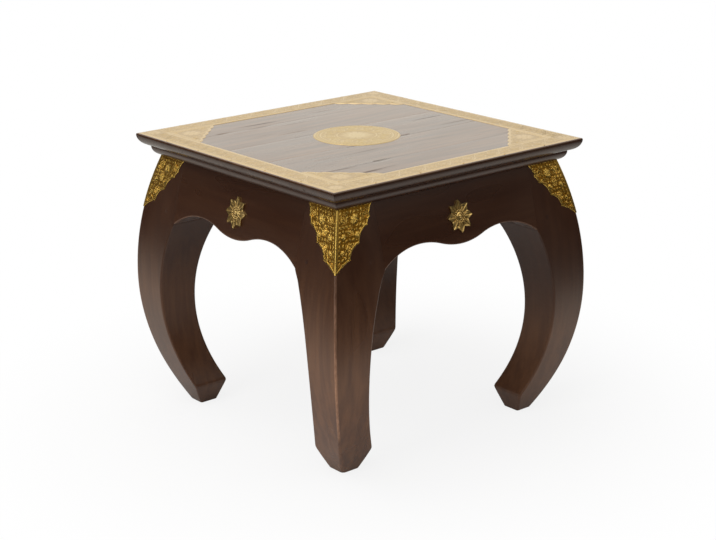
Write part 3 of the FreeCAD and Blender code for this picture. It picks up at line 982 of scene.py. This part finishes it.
def embossed_brass(name, bright, dark, coat, rough=sheet_rough):
    """Thin hammered brass under clear lacquer, rough in its tarnished hollows and smoother where rubbed."""
    material, tree, shader = new_material(name)
    place = add_node(tree, "ShaderNodeTexCoord").outputs["Object"]
    age = add_node(tree, "ShaderNodeGroup", node_tree=tarnish)
    tree.links.new(place, age.inputs["Place"])
    tree.links.new(trait(tree, "relief", "Fac"), age.inputs["Relief"])
    age.inputs["Bright"].default_value = bright
    age.inputs["Dark"].default_value = dark
    tree.links.new(age.outputs["Color"], shader.inputs["Base Color"])
    tree.links.new(ramp(tree, age.outputs["Rubbed"], 0.0, 1.0, *rough), shader.inputs["Roughness"])
    add_bump(tree, shader, age.outputs["Height"], speck_strength, speck_depth)
    shader.inputs["Metallic"].default_value = 1.0
    shader.inputs["Coat Weight"].default_value = coat
    shader.inputs["Coat Roughness"].default_value = coat_rough
    return material


def backed(points, relief, back):
    """Closed loops from the rows of a sheet's face and the points behind its ends, with their relief."""
    loops = np.concatenate([points, back], axis=1)
    low = np.zeros(back.shape[:2])
    return loops, {"relief": np.concatenate([relief, low], axis=1)}


def laid_flat(points, relief):
    """A flat sheet's face backed by its two ends set down on the wood."""
    back = points[:, [-1, 0]].copy()
    back[..., 2] = sheet_foot
    return backed(points, relief, back)


def make_sheets(stem, places, loops, traits, material):
    """One embossed sheet for each side or corner of the table, all of one shape."""
    for quarter, place in enumerate(places):
        make_piece(f"{stem}_{place}_embossed", [(turned(loops, quarter), traits)], material,
                   [f"{stem}_{place}"], relief_sharp_degrees)


top_brass = embossed_brass(
    "top_brass", bright=colour(215, 188, 136), dark=colour(191, 163, 112), coat=1.0)
make_sheets("border_strip", SIDES, *laid_flat(*border_loft()), top_brass)


# Corner plates. Four three-sided brass plates that turn the bare field into an octagon, with a lobed
# long side. A large flower is hammered up in each, with a scroll and a bud in its narrow ends.
plate_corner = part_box("corner_plate_front_right")[1].x
plate_leg = 0.076
plate_lobe_count = 5
plate_lobe_bulge = 0.0025
plate_rim = 0.0035
plate_rows = 170
plate_columns = 112
plate_scroll_shares = ((0.655, 0.155, 0.105, 1), (0.155, 0.655, 0.105, -1))
plate_flower_shares = (
    (0.305, 0.305, 0.205, 8), (0.09, 0.09, 0.045, 5), (0.82, 0.085, 0.04, 5), (0.085, 0.82, 0.04, 5),
    (0.49, 0.41, 0.045, 5), (0.41, 0.49, 0.045, 5))


def sized(shares, width, height):
    """Rows of place, radius and kind, from shares of a width and a height."""
    return [
        (across * width, along * height, radius * width, kind)
        for across, along, radius, kind in shares]


def rimmed(relief, to_edge, rim, line=1.0):
    """Relief inside a plain rim with a raised line round it."""
    panel = np.where(to_edge > rim, relief, plain_share)
    return np.maximum(panel, line * ridge(to_edge - rim, rim_line_width))


def plate_loft():
    """Rays of the front right plate from its square corner to its long side, in lobes 4bt(1 - t)."""
    along = np.linspace(0, 1, plate_rows)[:, None]
    lobe = plate_lobe_count * along % 1
    bulge = 4 * plate_lobe_bulge * lobe * (1 - lobe) / math.sqrt(2)
    end_first = plate_leg * (1 - along) + bulge
    end_second = plate_leg * along + bulge
    share = np.linspace(0, 1, plate_columns)[None, :]
    first = end_first * share
    second = end_second * share
    to_long_side = (plate_leg + 2 * bulge) * (1 - share) / math.sqrt(2)
    to_edge = np.minimum(np.minimum(first, second), to_long_side)
    relief = ornament(first, second, sized(plate_scroll_shares, plate_leg, plate_leg),
                      sized(plate_flower_shares, plate_leg, plate_leg))
    relief = rimmed(relief, to_edge, plate_rim)
    z = sheet_height(relief, rounded_fall(to_edge, sheet_edge_round))
    return np.stack([plate_corner - first, second - plate_corner, z], axis=-1), relief


make_sheets("corner_plate", CORNERS, *laid_flat(*plate_loft()), top_brass)


# Medallion. One round brass plate in the middle of the top: a beaded rim, a ring of scrolls, and a
# double flower in the centre.
medallion_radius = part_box("medallion")[1].x
medallion_rings = 125
medallion_columns = 480
medallion_bead_count = 64
medallion_bead_share = 0.9
medallion_bead_radius_share = 0.036
medallion_scroll_count = 12
medallion_scroll_share = 0.645
medallion_scroll_radius_share = 0.155
medallion_line_shares = (0.96, 0.835, 0.455)
medallion_flower_share = 0.42
medallion_flower_petals = 12
medallion_outer_height = 0.75
medallion_heart_share = 0.2
medallion_heart_petals = 8


def from_nearest(angle, count):
    """Angle from the nearest of a count of places spread evenly round a circle."""
    step = 2 * np.pi / count
    return angle - np.round(angle / step) * step


def medallion_relief(reach, angle):
    """Relief of the medallion by distance from its centre and angle round it.

    Raised lines part the beads of the rim, the ring of scrolls and the double flower.
    """
    radius = medallion_radius
    x, y = reach * np.cos(angle), reach * np.sin(angle)
    _, bead_line, flower_line = medallion_line_shares
    ring = medallion_scroll_share * radius
    curl = medallion_scroll_radius_share * radius
    turns = 2 * np.pi * np.arange(medallion_scroll_count) / medallion_scroll_count
    scrolls = [
        (ring * math.cos(turn), ring * math.sin(turn), curl, scroll_hand(index))
        for index, turn in enumerate(turns)]
    relief = ornament(x, y, scrolls, [])
    inside = reach < flower_line * radius
    flowers = np.maximum(
        medallion_outer_height * flower(x, y, medallion_flower_share * radius, medallion_flower_petals),
        flower(x, y, medallion_heart_share * radius, medallion_heart_petals))
    relief = np.where(inside, flowers, relief)
    bead_arc = from_nearest(angle, medallion_bead_count)
    bead_offset = np.hypot(bead_arc * medallion_bead_share, reach / radius - medallion_bead_share)
    beads = ridge(bead_offset, medallion_bead_radius_share)
    relief = np.where(reach > bead_line * radius, beads, relief)
    for share in medallion_line_shares:
        relief = np.maximum(relief, ridge(reach - share * radius, rim_line_width))
    return relief


def medallion_loft():
    """Rings of the medallion from its centre to its rim, then down and back under it."""
    out = np.linspace(0, medallion_radius, medallion_rings)
    reach = np.append(out, [medallion_radius, 0.0])[:, None]
    angle = once_round(medallion_columns)
    relief = medallion_relief(reach, angle)
    z = sheet_height(relief, rounded_fall(medallion_radius - reach, sheet_edge_round))
    z[-2:] = sheet_foot
    relief[-2:] = 0
    return np.stack([reach * np.cos(angle), reach * np.sin(angle), z], axis=-1), {"relief": relief}


medallion_brass = embossed_brass(
    "medallion_brass", bright=colour(219, 196, 141), dark=colour(196, 168, 108), coat=1.0)
make_piece("medallion_embossed", [medallion_loft()], medallion_brass, ["medallion"],
           relief_sharp_degrees)


# Pins of the top. Small brass pins with low round heads, hammered into the wood through the plain
# rims of the strips, the plates and the medallion.
pin_head_radius = 0.0013
pin_head_height = 0.0005
pin_rim = 0.003
pins_per_rim = 5
pins_round_medallion = 6
corner_pin_shares = ((0.08, 0.08), (0.72, 0.08), (0.08, 0.72))
pin_rings = 5
pin_columns = 10
head_relief = 0.85


def dome_loft(place, normal, radius, height):
    """Low dome on a face: radius * sin and height * cos of a quarter turn, then a foot sunk in."""
    normal = np.array(normal) / np.linalg.norm(normal)
    first = np.cross(normal, (normal[1], normal[2], -normal[0]))
    first = first / np.linalg.norm(first)
    second = np.cross(normal, first)
    turn = np.linspace(0, np.pi / 2, pin_rings)
    out = radius * np.append(np.sin(turn), 1.0)[:, None, None]
    up = height * np.append(np.cos(turn), -1.0)[:, None, None]
    angle = once_round(pin_columns)[..., None]
    points = np.array(place) + out * (first * np.cos(angle) + second * np.sin(angle)) + up * normal
    return points, {"relief": np.full(points.shape[:2], head_relief)}


def top_pin_places():
    """Places of the pins on the top: in both rims of each strip, on each plate and round the medallion."""
    rows = (border_outer - pin_rim, border_inner + pin_rim)
    spacing = 2 * border_inner / pins_per_rim
    quarter_places = [
        (spacing * (index + 1 / 2) - border_inner, -reach)
        for reach in rows for index in range(pins_per_rim)]
    quarter_places += [
        (plate_corner - first * plate_leg, second * plate_leg - plate_corner)
        for first, second in corner_pin_shares]
    places = [
        turned(np.array([x, y, 0.0]), quarter)
        for quarter in range(len(SIDES)) for x, y in quarter_places]
    reach = medallion_radius - pin_rim
    for index in range(pins_round_medallion):
        angle = 2 * math.pi * index / pins_round_medallion
        places.append(np.array([reach * math.cos(angle), reach * math.sin(angle), 0.0]))
    return places


pin_foot = np.array([0.0, 0.0, sheet_height(plain_share, fall=1.0)])
top_pin_lofts = [
    dome_loft(place + pin_foot, (0.0, 0.0, 1.0), pin_head_radius, pin_head_height)
    for place in top_pin_places()]
make_piece("top_sheet_pins_shaped", top_pin_lofts, top_brass, ["top_sheet_pins"])


# Leg caps. Four brass sheets folded over the outer arris of each leg under the moulding, cut to small
# scallops and a point on each face, embossed with flowers, curls and fine leaves, and pinned on.
cap_width = 0.058
cap_height = 0.0775
cap_edge_shares = (
    (1.0, 0.0, 0.02), (0.94, 0.10, 0.02), (0.955, 0.21, 0.03), (0.895, 0.325, 0.085), (0.67, 0.58, 0.085),
    (0.42, 0.82, 0.03), (0.03, 1.0, 0.0))
cap_scroll_shares = (
    (0.21, 0.165, 0.12, -1), (0.80, 0.145, 0.105, 1), (0.39, 0.375, 0.10, 1), (0.38, 0.62, 0.10, -1),
    (0.12, 0.85, 0.05, 1))
cap_flower_shares = (
    (0.50, 0.20, 0.13, 7), (0.205, 0.445, 0.085, 6), (0.59, 0.445, 0.085, 6), (0.185, 0.685, 0.07, 6),
    (0.77, 0.31, 0.05, 5))
cap_leaf_pitch = 0.0056
cap_ground_share = 0.6
cap_pin_shares = ((0.79, 0.12), (0.55, 0.45), (0.25, 0.76))
cap_fold_round = 0.0014
cap_ground_rise = 0.0003
cap_relief_rise = 0.0011
cap_rim = 0.0018
cap_rim_line = 0.5
cap_arris_width = 0.0024
cap_band_width = 0.0042
cap_band_relief = 0.2
cap_rows_per_scallop = 38
cap_columns = 224

face_radius = arc_radius(belly_reach - leg_top_reach, leg_top - belly_height)


def cap_outline():
    """Edge of a cap on one face, from its top to its tip: across and down, in scallops 4bt(1 - t)."""
    share = np.linspace(0, 1, cap_rows_per_scallop)[:, None]
    corners = np.array([(across * cap_width, down * cap_height) for across, down, _ in cap_edge_shares])
    parts = []
    for index, (_, _, depth) in enumerate(cap_edge_shares[:-1]):
        chord = corners[index + 1] - corners[index]
        square = np.array([-chord[1], chord[0]]) / np.hypot(*chord)
        sag = 4 * depth * cap_width * share * (1 - share)
        parts.append((corners[index] + chord * share + square * sag)[1 if index else 0:])
    outline = np.concatenate(parts)
    return outline[np.argsort(outline[:, 1])]


def cap_relief(across, down, to_edge):
    """Relief of one face of a cap by distance across from the arris and down from the top."""
    relief = ornament(across, down, sized(cap_scroll_shares, cap_width, cap_height),
                      sized(cap_flower_shares, cap_width, cap_height), cap_leaf_pitch, cap_ground_share)
    relief = np.where(across < cap_band_width, cap_band_relief, relief)
    return np.maximum(rimmed(relief, to_edge, cap_rim, cap_rim_line), ridge(across, cap_arris_width))


def face_lean(height):
    """Lean of the outer face at a height above the belly: arcsin of the rise over the arc's radius."""
    return np.arcsin((height - belly_height) / face_radius)


def on_leg(across, down, proud):
    """Place on the front right leg's folded face: across is negative on the front, positive on the right.

    The fold is the hyperbola (s + sqrt(s^2 + w^2)) / 2 on each side, and proud is along the normal.
    """
    height = leg_top - down
    reach = face_reach(height)
    root = np.sqrt(across ** 2 + cap_fold_round ** 2)
    right_in = (across + root) / 2
    front_in = (root - across) / 2
    right_slope = (1 + across / root) / 2
    front_slope = (1 - across / root) / 2
    length = np.hypot(right_slope, front_slope)
    lean = face_lean(height)
    x = reach - front_in + proud * np.cos(lean) * right_slope / length
    y = right_in - reach - proud * np.cos(lean) * front_slope / length
    z = np.minimum(height + proud * np.sin(lean), leg_top)
    return np.stack([x, y, z], axis=-1)


def cap_loft():
    """Rows of the front right cap from edge to edge over the arris, one row for each point of the edge."""
    outline = cap_outline()
    half, down = outline[:, :1], outline[:, 1:]
    across = half * np.linspace(-1, 1, cap_columns + 1)[None, :]
    depth = np.broadcast_to(down, across.shape)
    gaps = [np.hypot(np.abs(across) - edge_across, depth - edge_down) for edge_across, edge_down in outline]
    to_edge = np.minimum.reduce(gaps)
    relief = cap_relief(np.abs(across), depth, to_edge)
    proud = (cap_ground_rise + cap_relief_rise * relief) * rounded_fall(to_edge, sheet_edge_round)
    back_across = half * np.array([[1.0, 0.0, -1.0]])
    back = on_leg(back_across, np.broadcast_to(down, back_across.shape), -cap_ground_rise / 2)
    return backed(on_leg(across, depth, proud), relief, back)


leg_brass = embossed_brass(
    "leg_brass", bright=colour(252, 209, 106), dark=colour(164, 116, 32), coat=0.08, rough=(0.48, 0.25))

make_sheets("leg_cap", CORNERS, *cap_loft(), leg_brass)

cap_pin_lofts = []
pin_seat = cap_ground_rise + cap_relief_rise / 2
for quarter in range(len(CORNERS)):
    for share, drop in cap_pin_shares:
        for side in (-1, 1):
            spot = np.array([side * share * cap_width]), np.array([drop * cap_height])
            foot = on_leg(*spot, pin_seat)[0]
            head = on_leg(*spot, pin_seat + pin_head_radius)[0]
            height = pin_head_height + cap_relief_rise / 2
            points, traits = dome_loft(foot, head - foot, pin_head_radius, height)
            cap_pin_lofts.append((turned(points, quarter), traits))
make_piece("leg_cap_pins_shaped", cap_pin_lofts, leg_brass, ["leg_cap_pins"])


# Rosettes. One pressed brass star of eight pointed petals on the middle of each apron, duller than the
# caps. Each petal is domed inside a rim that is rubbed pale, with a sunk rib. A round-headed brass nail
# goes through a low boss, with a dark ring round the nail and beads round the boss.
rosette_radius = 0.022
rosette_point_radius = 0.0229
rosette_valley_radius = 0.0155
rosette_tip_blunting = 0.05
rosette_point_count = 8
rosette_depth = 0.043
rosette_height = leg_top - rosette_depth
rosette_edge_rise = 0.0006
rosette_dome_rise = 0.0008
rosette_root_share = 0.5
rosette_rib_width = 0.0011
rosette_rib_share = 0.55
rosette_tip_lift = 0.0005
rosette_tip_power = 3
rosette_boss_radius = 0.0062
rosette_boss_rise = 0.0020
rosette_ring_radius = 0.0034
rosette_ring_width = 0.0012
rosette_bead_count = 16
rosette_bead_place = 0.0079
rosette_bead_radius = 0.0013
rosette_bead_rise = 0.0009
rosette_rim_share = 0.24
rosette_rim_rise = 0.0004
rosette_dome_relief = 0.45
rosette_rings = 46
rosette_columns = 192
nail_head_radius = 0.0026
nail_head_height = 0.0014


def on_apron(across, up, proud):
    """Place on the front apron's face about the rosette's middle, proud along the face's normal."""
    height = rosette_height + up
    lean = face_lean(height)
    reach = face_reach(height) + proud * np.cos(lean)
    return np.stack([across, -reach, height + proud * np.sin(lean)], axis=-1)


def rosette_loft():
    """Rings of the front rosette from its middle to its star-shaped edge, then down and back under it.

    At a turn t from a tip the edge is the straight line from the tip p to the valley v, a sector s on:
    p v sin(s) / (p sin(t) + v sin(s - t)).
    """
    angle = once_round(rosette_columns)
    sector = np.pi / rosette_point_count
    from_tip = np.abs(from_nearest(angle, rosette_point_count))
    blunted = np.hypot(from_tip, rosette_tip_blunting)
    edge = rosette_point_radius * rosette_valley_radius * np.sin(sector) / (
        rosette_point_radius * np.sin(blunted) + rosette_valley_radius * np.sin(sector - blunted))
    share = np.append(np.linspace(0, 1, rosette_rings), [1.0, 0.0])[:, None]
    reach = edge * share
    out = reach / rosette_radius
    dome = np.sqrt(np.clip(1 - (from_tip / sector) ** 2, 0, 1)) * smooth_step(out / rosette_root_share)
    dome = dome * (1 - rosette_rib_share * ridge(reach * np.sin(from_tip), rosette_rib_width))
    bead_turn = from_nearest(angle, rosette_bead_count)
    bead_offset = np.hypot(reach * np.cos(bead_turn) - rosette_bead_place, reach * np.sin(bead_turn))
    bead = ridge(bead_offset, rosette_bead_radius)
    boss = np.sqrt(np.clip(1 - (reach / rosette_boss_radius) ** 2, 0, 1))
    rim = ridge(1 - share, rosette_rim_share) * smooth_step(out / rosette_root_share)
    petals = rosette_edge_rise + rosette_dome_rise * dome + rosette_rim_rise * rim
    petals = petals + rosette_tip_lift * out ** rosette_tip_power
    proud = np.maximum(petals + rosette_bead_rise * bead, rosette_boss_rise * boss)
    relief = np.maximum(np.maximum(rosette_dome_relief * dome, rim), np.maximum(bead, boss))
    relief = relief * (1 - ridge(reach - rosette_ring_radius, rosette_ring_width))
    proud[-2:] = -rosette_edge_rise
    relief[-2:] = 0
    return on_apron(reach * np.sin(angle), reach * np.cos(angle), proud), {"relief": relief}


rosette_brass = embossed_brass(
    "rosette_brass", bright=colour(255, 217, 138), dark=colour(138, 99, 39), coat=0.08, rough=(0.5, 0.28))

make_sheets("rosette", SIDES, *rosette_loft(), rosette_brass)

middle = np.zeros(1)
nail_foot = on_apron(middle, middle, rosette_boss_rise - nail_head_height / 2)[0]
nail_tip = on_apron(middle, middle, rosette_boss_rise + nail_head_height)[0]
nail_points, nail_traits = dome_loft(nail_foot, nail_tip - nail_foot, nail_head_radius, nail_head_height)
nail_lofts = [(turned(nail_points, quarter), nail_traits) for quarter in range(len(SIDES))]
make_piece("rosette_nails_shaped", nail_lofts, rosette_brass, ["rosette_nails"])


# Floor. A plain white studio floor, larger than any view of the table. It keeps the table's shadow and
# fades to pure white round it. Reflections show it as it is lit close by, and dim where the paper ends.
floor_half = 12.0
floor_paint = colour(247, 246, 245)
pure_white = (1.0, 1.0, 1.0, 1.0)
paper_white = (1.0, 0.965, 0.885, 1.0)
floor_rough = 0.9
shadow_glow = 0.84
shadow_range = (0.25, 0.65)
mirror_glow = 0.15
mirror_range = (0.2, 0.6)
paper_range = (0.7, 1.25)
paper_end_glow = 0.04
backdrop_direction = (-0.77, 0.64, 0.0)


def length_along(tree, vector, direction):
    """Length of a vector along a direction: their dot product."""
    product = add_node(tree, "ShaderNodeVectorMath", {0: vector, 1: direction}, operation="DOT_PRODUCT")
    return product.outputs["Value"]


def bounced(tree, path):
    """One for a ray that comes by way of a reflection or through glass, and zero for others."""
    return maths(tree, "MAXIMUM", path.outputs["Is Glossy Ray"], path.outputs["Is Transmission Ray"])


def studio_floor():
    """Flat square of matt paint that glows to the camera and in reflections, most of all far off."""
    mesh = bpy.data.meshes.new("studio_floor")
    corners = [(-floor_half, -floor_half, 0), (floor_half, -floor_half, 0),
               (floor_half, floor_half, 0), (-floor_half, floor_half, 0)]
    mesh.from_pydata(corners, [], [(0, 1, 2, 3)])
    material = bpy.data.materials.new("floor_paint")
    tree = cleared_tree(material)
    place = add_node(tree, "ShaderNodeTexCoord").outputs["Object"]
    away = add_node(tree, "ShaderNodeVectorMath", {0: place}, operation="LENGTH").outputs["Value"]
    off_paper = maths(tree, "SUBTRACT", away, length_along(tree, place, backdrop_direction))
    path = add_node(tree, "ShaderNodeLightPath")
    seen = ramp(tree, away, *shadow_range, shadow_glow, 1.0)
    seen = maths(tree, "MULTIPLY", seen, path.outputs["Is Camera Ray"])
    mirrored = ramp(tree, away, *mirror_range, mirror_glow, 1.0)
    mirrored = maths(tree, "MULTIPLY", mirrored, bounced(tree, path))
    glow = maths(tree, "MAXIMUM", seen, mirrored)
    paper = ramp(tree, off_paper, *paper_range, 1.0, paper_end_glow)
    strength = maths(tree, "MAXIMUM", paper, path.outputs["Is Camera Ray"])
    paint = add_node(tree, "ShaderNodeBsdfDiffuse", {"Color": floor_paint, "Roughness": floor_rough})
    shade = mixed(tree, path.outputs["Is Camera Ray"], paper_white, pure_white)
    white = add_node(tree, "ShaderNodeEmission", {"Color": shade, "Strength": strength})
    both = add_node(tree, "ShaderNodeMixShader", {0: glow, 1: paint.outputs[0], 2: white.outputs[0]})
    add_node(tree, "ShaderNodeOutputMaterial", {"Surface": both.outputs[0]})
    mesh.materials.append(material)
    floor = add_object("studio_floor", mesh)


studio_floor()


# Light. A white backdrop stands behind the table, a pale ceiling over it and a window high on the right,
# and the room in front is dim, which shows in the lacquer and the brass. A wide soft lamp hangs over
# the table, and a low one stands in front.
room_dim = (0.025, 0.023, 0.021, 1.0)
horizon_light = (0.22, 0.22, 0.22, 1.0)
zenith_light = (0.62, 0.62, 0.62, 1.0)
backdrop_range = (0.25, 0.75)
ceiling_range = (0.4, 0.75)
ceiling_share = 0.7
window_direction = (0.56, 0.28, 0.78)
window_range = (0.74, 0.92)
overhead_place = (-0.4, -0.6, 2.4)
overhead_size = 2.2
overhead_watts = 27.0
front_place = (0.2, -2.4, 0.8)
front_size = 1.2
front_watts = 10.0


def studio_world():
    """White to the camera. In reflections it is white behind the table, pale above and dim in front."""
    world = bpy.data.worlds.new("studio")
    tree = cleared_tree(world)
    direction = add_node(tree, "ShaderNodeTexCoord").outputs["Generated"]
    upward = add_node(tree, "ShaderNodeSeparateXYZ", {0: direction}).outputs["Z"]
    behind = ramp(tree, length_along(tree, direction, backdrop_direction), *backdrop_range)
    above = ramp(tree, upward, *ceiling_range, 0.0, ceiling_share)
    window = ramp(tree, length_along(tree, direction, window_direction), *window_range)
    lit = maths(tree, "MAXIMUM", maths(tree, "MAXIMUM", behind, above), window)
    mirrored = mixed(tree, lit, room_dim, paper_white)
    path = add_node(tree, "ShaderNodeLightPath")
    sky = mixed(tree, upward, horizon_light, zenith_light)
    shade = mixed(tree, bounced(tree, path), sky, mirrored)
    shade = mixed(tree, path.outputs["Is Camera Ray"], shade, pure_white)
    background = add_node(tree, "ShaderNodeBackground", {"Color": shade, "Strength": 1.0})
    add_node(tree, "ShaderNodeOutputWorld", {"Surface": background.outputs[0]})
    bpy.context.scene.world = world


def soft_lamp(name, place, size, watts):
    """Square lamp that faces the middle of the table."""
    data = bpy.data.lights.new(name, "AREA")
    data.shape = "SQUARE"
    data.size = size
    data.energy = watts
    lamp = add_object(name, data)
    aim = Vector((0.0, 0.0, leg_top)) - Vector(place)
    lamp.matrix_world = Matrix.Translation(place) @ aim.to_track_quat("-Z", "Y").to_matrix().to_4x4()


studio_world()
soft_lamp("overhead_lamp", overhead_place, overhead_size, overhead_watts)
soft_lamp("front_lamp", front_place, front_size, front_watts)


# Camera. It stands at the photograph's place, a little above the table and off its nearest corner,
# and looks down on the table through a long lens.
camera_place = (1.7564, -1.4605, 0.9356)
camera_heading_degrees = 50.2575
camera_dip_degrees = 17.6947
camera_roll_degrees = -0.5473
camera_lens = 82.85
camera_sensor = 36.0

camera_data = bpy.data.cameras.new("camera")
camera_data.lens = camera_lens
camera_data.sensor_width = camera_sensor
camera = add_object("camera", camera_data)
camera.matrix_world = (
    Matrix.Translation(camera_place)
    @ Matrix.Rotation(math.radians(camera_heading_degrees), 4, "Z")
    @ Matrix.Rotation(math.radians(90.0 - camera_dip_degrees), 4, "X")
    @ Matrix.Rotation(math.radians(camera_roll_degrees), 4, "Z"))
bpy.context.scene.camera = camera
bpy.context.scene.view_settings.view_transform = "Standard"
